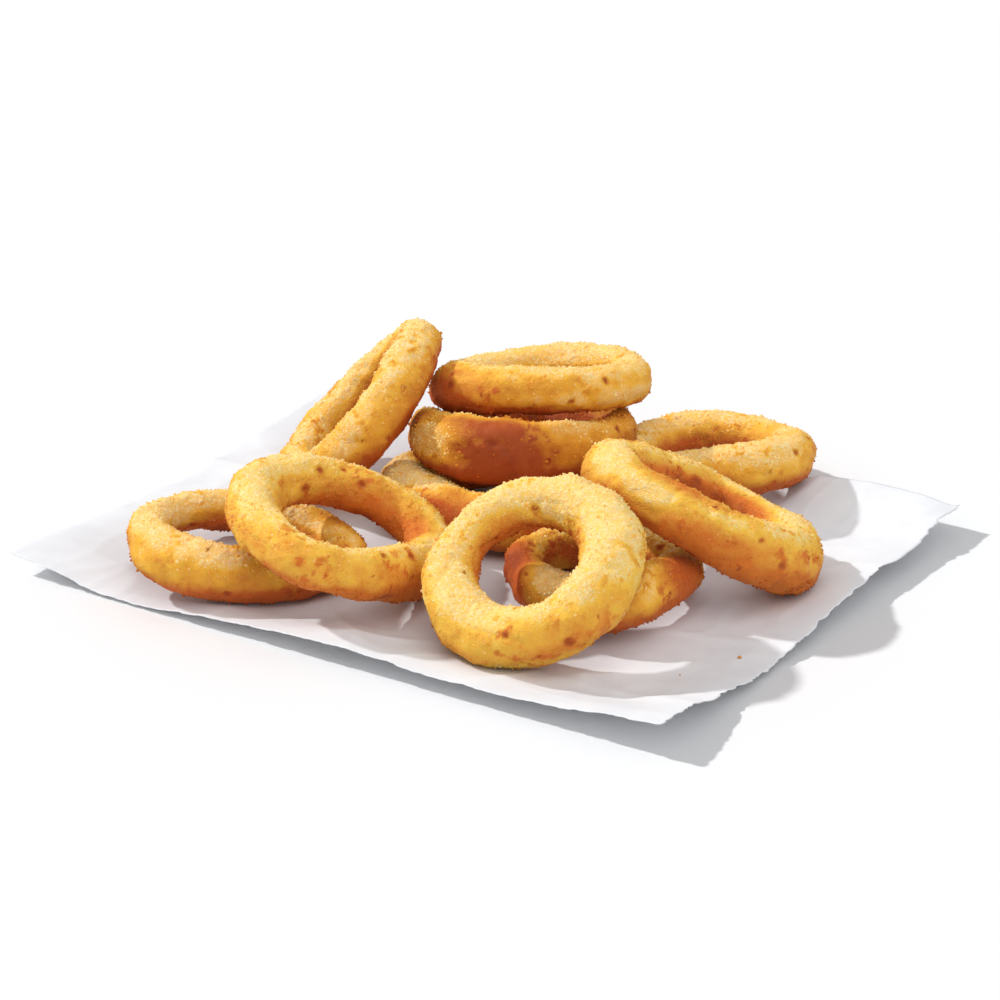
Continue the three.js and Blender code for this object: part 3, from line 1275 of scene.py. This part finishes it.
GRADES = (
    Grade(
        "fine_crumb", 46000, 0.45, 0.85, 0.05,
        ((0, 0, 1.1), (1, 0, -0.5), (-0.5, 0.87, -0.5), (-0.5, -0.87, -0.5)),
        ((0, 1, 2), (0, 2, 3), (0, 3, 1), (1, 3, 2)),
    ),
    Grade(
        "coarse_crumb", 11500, 0.75, 1.45, 0.24,
        ((1, 0, 0), (-1, 0, 0), (0, 1, 0), (0, -1, 0), (0, 0, 0.8), (0, 0, -0.8)),
        ((0, 2, 4), (2, 1, 4), (1, 3, 4), (3, 0, 4), (2, 0, 5), (1, 2, 5), (3, 1, 5), (0, 3, 5)),
    ),
)


@dataclass
class CrumbCoat:
    """The cracker crumb that sticks to the crust, as small closed shards."""

    seed: int = 7
    uneven: tuple[float, float] = (0.6, 1.25)
    own_facing: float = 1.1  # how far a shard's shading follows its own form
    clump: float = 4.5  # crumb sticks in clumps this far apart, in millimetres
    between: float = 0.3  # weight of the crumb between the clumps, where a clump has 1.3

    def spots(
        self, skin: Skin, count: int, draw: np.random.Generator
    ) -> tuple[np.ndarray, np.ndarray, np.ndarray]:
        """Pick where grains stick, more of them where crumb covers the batter.

        Args:
            skin: the ring's surface.
            count: how many grains.
            draw: where random numbers come from.

        Returns:
            The places, the outward directions and how toasted the crust is there, painted
            shade included.
        """
        first = skin.points
        ahead, above = np.roll(first, -1, axis=0), np.roll(first, -1, axis=1)
        facing = np.cross(ahead - first, above - first)
        area = np.linalg.norm(facing, axis=-1)
        clumps = smooth_share(soft_noise(first, self.clump, self.seed), -0.45, 0.45)
        weight = (area * skin.cover**1.5 * (self.between + clumps)).ravel()
        picked = draw.choice(weight.size, size=count, p=weight / weight.sum())
        along, across = draw.random((2, count, 1))
        rows, columns = np.unravel_index(picked, area.shape)
        start = first[rows, columns]
        place = start + along * (ahead[rows, columns] - start)
        place += across * (above[rows, columns] - start)
        out = facing[rows, columns] / area[rows, columns, None]
        return place, out, skin.toast_and_shade[rows, columns]

    def build(self, grade: Grade, skins: list[Skin]) -> bpy.types.Object:
        """Scatter one grade of crumb over the rings.

        Args:
            grade: the grade.
            skins: the rings' surfaces.

        Returns:
            All its grains as one piece, without its material.
        """
        draw = np.random.default_rng(self.seed + grade.count)
        spread = [self.spots(skin, grade.count // len(skins), draw) for skin in skins]
        place, out, toast_and_shade = (np.concatenate(part) for part in zip(*spread))
        count, corners = len(place), len(grade.corners)
        size = grade.small + (grade.large - grade.small) * draw.random(count) ** 2
        side = np.cross(out, draw.normal(size=(count, 3)))
        side /= np.linalg.norm(side, axis=-1, keepdims=True)
        axes = np.stack([side, np.cross(out, side), out], axis=1)
        low, high = self.uneven
        shard = np.array(grade.corners) * (low + (high - low) * draw.random((count, corners, 1)))
        shard = shard @ axes * size[:, None, None] / 2
        points = shard + (place + grade.proud * size[:, None] * out)[:, None, :]
        low, high = (np.array(corner) / MM for corner in CAD_BOX)
        points = np.clip(points, low, high).reshape(-1, 3)
        numbers = np.arange(count)[:, None, None] * corners
        faces = (numbers + np.array(grade.faces)[None]).reshape(-1, 3)
        marks = {
            "shade": np.repeat(draw.random(count), corners),
            "toast_and_shade": np.repeat(toast_and_shade, corners),
        }
        own = shard / np.linalg.norm(shard, axis=-1, keepdims=True)
        facing = (out[:, None, :] + self.own_facing * own).reshape(-1, 3)
        facing /= np.linalg.norm(facing, axis=-1, keepdims=True)
        return make_mesh(grade.name, points, faces, marks, facing)

    def dress(self, piece: bpy.types.Object, crumb: bpy.types.Material) -> None:
        """Give the crumb its finish and tie it to the frame.

        Args:
            piece: one grade of crumb.
            crumb: its finish.
        """
        piece.data.materials.append(crumb)
        # The shards are thin and let light through, so they darken nothing.
        piece.visible_shadow = False
        attach(piece, "fried_crust")


# ---- the sheet ----


@dataclass(frozen=True)
class Crease:
    """A soft fold in the sheet, along a straight line.

    x and y are a point on it, heading is its direction, rise is its height, half is half its
    width and reach is how far it runs either way before it dies out.
    """

    x: float
    y: float
    heading: float
    rise: float
    half: float
    reach: float

    def height(self, x: np.ndarray, y: np.ndarray) -> np.ndarray:
        """Give the fold's height.

        Args:
            x: places along the sheet's long side, in millimetres from its middle.
            y: places along its short side.

        Returns:
            The height at each place.
        """
        heading = math.radians(self.heading)
        along = (x - self.x) * math.cos(heading) + (y - self.y) * math.sin(heading)
        across = (y - self.y) * math.cos(heading) - (x - self.x) * math.sin(heading)
        profile = np.exp(-np.sqrt((across / self.half) ** 2 + 0.04) + 0.2)
        return self.rise * profile * np.exp(-((along / self.reach) ** 2))


@dataclass
class DeliSheet:
    """The sheet of greaseproof paper that the rings lie on."""

    long: float = 254.0
    wide: float = 207.0
    # Real paper is 0.05 mm, and it is drawn thicker so that its edge shows.
    thick: float = 0.14
    cells_long: int = 216
    cells_wide: int = 176
    # Lifts of the margins at seven even stations, and the band over which they die out.
    band: float = 32.0
    lift_front: tuple[float, ...] = (5.5, 0.5, 3, 5.5, 5, 6, 10)
    lift_right: tuple[float, ...] = (10, 4.5, 1.5, 4, 6, 6, 9)
    lift_back: tuple[float, ...] = (7, 3, 1, 0, 0.5, 8.5, 9.5)
    lift_left: tuple[float, ...] = (5.5, 4, 1.5, 0, 2.5, 5, 7)
    creases: tuple[Crease, ...] = (
        Crease(-121, 9, 4, 2.2, 4, 20),
        Crease(-4, -82, -40, 1.5, 3.5, 20),
        Crease(13, -84, 38, 1.3, 3.5, 18),
        Crease(3, -93, -6, 0.9, 4, 20),
        Crease(-97, -82, 68, 0.8, 5, 35),
        Crease(-60, -95, 10, 0.5, 3, 30),
        Crease(109, 72, 62, 1.3, 4, 40),
        Crease(113, -20, 12, 0.8, 3, 30),
        Crease(96, -74, -14, 0.8, 4, 40),
        Crease(60, -90, 70, 0.8, 3, 16),
        Crease(95, 20, -50, 0.7, 4, 30),
        Crease(104, 40, 20, 0.9, 3.5, 25),
        Crease(88, -60, 48, 0.8, 3.5, 22),
        Crease(70, 92, 75, 0.9, 4, 22),
        Crease(-105, 45, 55, 0.9, 5, 30),
        Crease(125, 101, 129, -2.8, 8, 30),
    )
    clearance: float = 0.25
    ground: float = 0.2
    least: float = 0.02  # the least height of the underside over the table
    # Size of each kind of crumple and its height, and the same for the broad unevenness.
    crumples: tuple[tuple[float, float], ...] = ((52, 0.6), (31, 0.6), (17, 0.3))
    uneven: tuple[float, float] = (45.0, 0.15)
    # How far the edges fall short: the right one was torn, and the left and back ones cut.
    tear: float = 0.35
    tooth: tuple[float, float] = (1.15, 0.45)
    right_torn: float = 1.9
    front_torn: float = 1.0
    cut: float = 0.4
    trim: float = 3.0  # band over which the tear moves the sheet's points

    def station_height(self, heights: tuple[float, ...], share: np.ndarray) -> np.ndarray:
        """Give a margin's lift part of the way along it.

        Args:
            heights: the lifts at even stations.
            share: how far along the margin, from 0 to 1.

        Returns:
            The lifts, on a smooth curve through the stations.
        """
        stations = np.array((heights[0], *heights, heights[-1], heights[-1]), dtype=float)
        spot = np.clip(share, 0, 1) * (len(heights) - 1)
        first = np.floor(spot).astype(int)
        t = spot - first
        p0, p1, p2, p3 = (stations[first + k] for k in range(4))
        v0, v1 = (p2 - p0) / 2, (p3 - p1) / 2
        cubic = (2 * p1 - 2 * p2 + v0 + v1) * t**3
        return cubic + (-3 * p1 + 3 * p2 - 2 * v0 - v1) * t**2 + v0 * t + p1

    def height(self, x: np.ndarray, y: np.ndarray) -> np.ndarray:
        """Give the height of the sheet's underside, before its creases.

        Args:
            x: places along the sheet's long side, in millimetres from its middle.
            y: places along its short side.

        Returns:
            The height at each place.
        """
        along_long, along_wide = x / self.long + 0.5, y / self.wide + 0.5
        margins = (
            (along_wide * self.wide, self.station_height(self.lift_front, along_long)),
            ((1 - along_long) * self.long, self.station_height(self.lift_right, along_wide)),
            ((1 - along_wide) * self.wide, self.station_height(self.lift_back, along_long)),
            (along_long * self.long, self.station_height(self.lift_left, along_wide)),
        )
        shares, lifted, flat = 1e-9, 0.0, 1.0
        for inside, lift in margins:
            share = 1 - smooth_share(inside, 0, self.band)
            shares = shares + share
            lifted = lifted + share * lift
            flat = flat * (1 - share)
        return np.maximum(0, lifted / shares * (1 - flat))

    def middle(self) -> np.ndarray:
        """Give the middle of the sheet in the frame, in millimetres."""
        low, high = (np.array(corner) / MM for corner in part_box("paper_sheet"))
        return np.array([(low[0] + high[0]) / 2, (low[1] + high[1]) / 2, 0.0])

    def torn(self, along: np.ndarray, seed: int) -> np.ndarray:
        """Give how far an edge falls short of a straight line.

        Args:
            along: places along the edge, in millimetres.
            seed: which tear to give.

        Returns:
            How far it falls short at each place.
        """
        spot = np.stack([along, np.full_like(along, 0.5), np.full_like(along, 0.5)], axis=-1)
        short = 1 + soft_noise(spot, 14.0, seed) + soft_noise(spot, 4.0, seed + 1)
        pitch, tall = self.tooth
        teeth = tall * hashed(np.floor(spot / pitch), seed + 2) ** 2
        return np.clip(self.tear * short, 0, None) + teeth

    def build(self, rings: list[OnionRing]) -> tuple[bpy.types.Object, np.ndarray]:
        """Build the sheet as a thin closed solid.

        Args:
            rings: the rings that lie on it, which it must stay below.

        Returns:
            The sheet without its material, and the points of its upper side.
        """
        u = (np.arange(self.cells_long + 1) / self.cells_long - 0.5) * self.long
        v = (np.arange(self.cells_wide + 1) / self.cells_wide - 0.5) * self.wide
        x, y = np.meshgrid(u, v, indexing="ij")
        half_x, half_y = self.long / 2, self.wide / 2
        edge_x = smooth_share(np.abs(x), half_x - self.trim, half_x) * np.sign(x)
        edge_y = smooth_share(np.abs(y), half_y - self.trim, half_y) * np.sign(y)
        right, left = self.right_torn * self.torn(y, 11), self.cut * self.torn(y, 21)
        front, back = self.front_torn * self.torn(x, 31), self.cut * self.torn(x, 41)
        cut_x = x - edge_x * np.where(x > 0, right, left)
        cut_y = y - edge_y * np.where(y < 0, front, back)
        lift = self.height(x, y)
        flat = np.stack([cut_x, cut_y, np.zeros_like(x)], axis=-1)
        lift += self.ground + self.uneven[1] * soft_noise(flat, self.uneven[0], 51)
        for seed, (cell, rise) in enumerate(self.crumples, start=53):
            lift += rise * (1 - np.abs(soft_noise(flat, cell, seed))) ** 4
        for crease in self.creases:
            lift += crease.height(cut_x, cut_y)
        lift = np.maximum(lift, self.least)
        under = self.room_under(rings, cut_x, cut_y)
        lift = np.minimum(lift, np.maximum(under - self.thick - self.clearance, self.least))
        upper = flat + self.middle()
        upper[..., 2] = lift + self.thick
        lower = upper.copy()
        lower[..., 2] = lift
        return make_mesh("greaseproof_sheet", *self.closed(upper, lower)), upper

    def room_under(self, rings: list[OnionRing], x: np.ndarray, y: np.ndarray) -> np.ndarray:
        """Give the height of the lowest ring over the sheet.

        Args:
            rings: all the rings.
            x: places along the sheet's long side, in millimetres from its middle.
            y: places along its short side.

        Returns:
            The height at each place, and a very large one where there is no ring.
        """
        centre = self.middle()
        room = np.full(x.shape, 1e3)
        for ring in rings:
            middles, radii = ring.balls()
            for (bx, by, bz), radius in zip(middles, radii):
                far = (x + centre[0] - bx) ** 2 + (y + centre[1] - by) ** 2
                inside = far < radius**2
                room[inside] = np.minimum(room[inside], bz - np.sqrt(radius**2 - far[inside]))
        return room

    def closed(self, upper: np.ndarray, lower: np.ndarray) -> tuple[np.ndarray, np.ndarray]:
        """Join two grids of points into one closed skin.

        Args:
            upper: the upper grid.
            lower: the lower grid, of the same size.

        Returns:
            All points, and four point numbers for each face.
        """
        rows, columns = upper.shape[:2]
        top = np.arange(rows * columns).reshape(rows, columns)
        low = top + rows * columns
        faces = [
            np.stack([top[:-1, :-1], top[1:, :-1], top[1:, 1:], top[:-1, 1:]], axis=-1),
            np.stack([low[:-1, :-1], low[:-1, 1:], low[1:, 1:], low[1:, :-1]], axis=-1),
        ]
        rims = (
            (top[:, 0], low[:, 0]),
            (top[-1, :], low[-1, :]),
            (top[::-1, -1], low[::-1, -1]),
            (top[0, ::-1], low[0, ::-1]),
        )
        for above, below in rims:
            faces.append(np.stack([above[:-1], below[:-1], below[1:], above[1:]], axis=-1))
        points = np.concatenate([upper.reshape(-1, 3), lower.reshape(-1, 3)])
        return points, np.concatenate([face.reshape(-1, 4) for face in faces])

    def dress(self, piece: bpy.types.Object, paper: bpy.types.Material) -> None:
        """Give the sheet its paper and tie it to the frame."""
        piece.data.materials.append(paper)
        attach(piece, "greaseproof_paper", "paper_sheet")


@dataclass(frozen=True)
class LooseCrumbs:
    """Crumbs that fell off the rings: x, y and size of each, on the sheet."""

    seed: int = 9
    crumbs: tuple[tuple[float, float, float], ...] = ((114.3, -42.8, 1.6), (104.1, -62.8, 0.8))
    flatness: float = 0.7
    uneven: tuple[float, float] = (0.7, 1.2)
    shade: float = 0.3
    toast_and_shade: float = 0.45

    def build(self, sheet: np.ndarray) -> bpy.types.Object:
        """Lay the crumbs on the sheet.

        Args:
            sheet: the points of the sheet's upper side.

        Returns:
            The crumbs as one piece, without their material.
        """
        draw = np.random.default_rng(self.seed)
        grade = GRADES[-1]
        points = []
        for x, y, size in self.crumbs:
            far = np.hypot(sheet[..., 0] - x, sheet[..., 1] - y)
            under = sheet[np.unravel_index(far.argmin(), far.shape)]
            shard = np.array(grade.corners) * draw.uniform(*self.uneven, (len(grade.corners), 1))
            shard = shard * (1, 1, self.flatness) * size / 2
            points.append(shard - (0, 0, shard[:, 2].min()) + (x, y, under[2]))
        numbers = np.arange(len(points))[:, None, None] * len(grade.corners)
        faces = (numbers + np.array(grade.faces)[None]).reshape(-1, 3)
        points = np.concatenate(points)
        marks = {
            "shade": np.full(len(points), self.shade),
            "toast_and_shade": np.full(len(points), self.toast_and_shade),
        }
        return make_mesh("loose_crumb", points, faces, marks)

    def dress(self, piece: bpy.types.Object, crumb: bpy.types.Material) -> None:
        """Give the crumbs their finish and tie them to the frame."""
        piece.data.materials.append(crumb)
        attach(piece, "fried_crust")


# ---- the studio ----


@dataclass
class Studio:
    """A white table, a key light from the left, a soft one from the front and a long lens.

    Lengths are in millimetres and angles in degrees. A light's travel is the direction in
    which its light goes, its strength is in watts per square metre and its angle is how wide
    it looks.
    """

    floor_half: float = 9000.0
    eye: tuple[float, float, float] = (557.8, -872.7, 450.3)
    target: tuple[float, float, float] = (-21.7, 28.3, 0.0)
    lens: float = 117.9
    sensor: float = 36.0
    key_travel: tuple[float, float, float] = (1.35, 0.12, -1.0)
    key_strength: float = 2.42
    key_angle: float = 2.5
    front_travel: tuple[float, float, float] = (-0.5, 0.3, -0.81)
    front_strength: float = 1.4
    front_angle: float = 70.0
    sky: int = 0xFBFCFF
    sky_strength: float = 0.58

    def build_floor(self, paint: bpy.types.Material) -> None:
        """Lay the table top, level with the bottom of the serving.

        Args:
            paint: its finish.
        """
        half = self.floor_half
        corners = np.array([(-half, -half, 0), (half, -half, 0), (half, half, 0), (-half, half, 0)])
        floor = make_mesh("studio_floor", corners, np.array([[0, 1, 2, 3]]))
        floor.data.materials.append(paint)

    def build_sun(
        self, name: str, travel: tuple[float, float, float], strength: float, angle: float
    ) -> bpy.types.Object:
        """Hang a distant light.

        Args:
            name: the light's name.
            travel: the direction in which its light goes.
            strength: its strength square on, in watts per square metre.
            angle: how wide it looks, in degrees.

        Returns:
            The light.
        """
        data = bpy.data.lights.new(name, "SUN")
        data.energy = strength
        data.angle = math.radians(angle)
        lamp = bpy.data.objects.new(name, data)
        lamp.rotation_mode = "QUATERNION"
        lamp.rotation_quaternion = Vector(travel).to_track_quat("-Z", "Y")
        bpy.context.scene.collection.objects.link(lamp)
        return lamp

    def build_lights(self, serving: list[bpy.types.Object]) -> None:
        """Set the lights. The one from the front is kept off all but the serving.

        Args:
            serving: the pieces of the serving.
        """
        self.build_sun("key_light", self.key_travel, self.key_strength, self.key_angle)
        front = self.build_sun(
            "front_light", self.front_travel, self.front_strength, self.front_angle
        )
        lit = bpy.data.collections.new("lit_from_the_front")
        for piece in serving:
            lit.objects.link(piece)
        front.light_linking.receiver_collection = lit
        world = bpy.data.worlds.new("studio_fill")
        world.use_nodes = True
        world.node_tree.nodes.clear()
        sky = add_node(
            world.node_tree,
            "Background",
            {"Color": linear(self.sky), "Strength": self.sky_strength},
        )
        add_node(world.node_tree, "OutputWorld", {"Surface": sky.outputs["Background"]})
        bpy.context.scene.world = world

    def build_camera(self) -> None:
        """Set up the camera."""
        data = bpy.data.cameras.new("camera")
        data.lens = self.lens
        data.sensor_width = self.sensor
        data.clip_end = 100.0
        camera = bpy.data.objects.new("camera", data)
        eye, target = (Vector(place) * MM for place in (self.eye, self.target))
        camera.location = eye
        camera.rotation_mode = "QUATERNION"
        camera.rotation_quaternion = (target - eye).to_track_quat("-Z", "Y")
        bpy.context.scene.collection.objects.link(camera)
        bpy.context.scene.camera = camera


def main() -> None:
    """Build the serving and the studio round it."""
    logging.basicConfig(level=logging.INFO, format="%(name)s: %(message)s")
    bpy.context.scene.view_settings.view_transform = "Standard"
    crusts = {fry: FriedCrust().build(fry) for fry in Fry}
    rings = [OnionRing(sizes, index) for index, sizes in enumerate(RINGS)]
    serving, skins = [], []
    for ring in rings:
        piece, skin = ring.build(rings)
        ring.dress(piece, crusts[ring.sizes.fry])
        serving.append(piece)
        skins.append(skin)
    coat = CrumbCoat()
    cracker_crumb = CrackerCrumb().build()
    for grade in GRADES:
        piece = coat.build(grade, skins)
        coat.dress(piece, cracker_crumb)
        serving.append(piece)
    sheet = DeliSheet()
    piece, upper = sheet.build(rings)
    sheet.dress(piece, GreaseproofPaper().build())
    serving.append(piece)
    loose = LooseCrumbs()
    piece = loose.build(upper)
    loose.dress(piece, cracker_crumb)
    serving.append(piece)
    studio = Studio()
    studio.build_floor(PaintedBoard().build())
    studio.build_lights(serving)
    studio.build_camera()


if __name__ == "__main__":
    main()
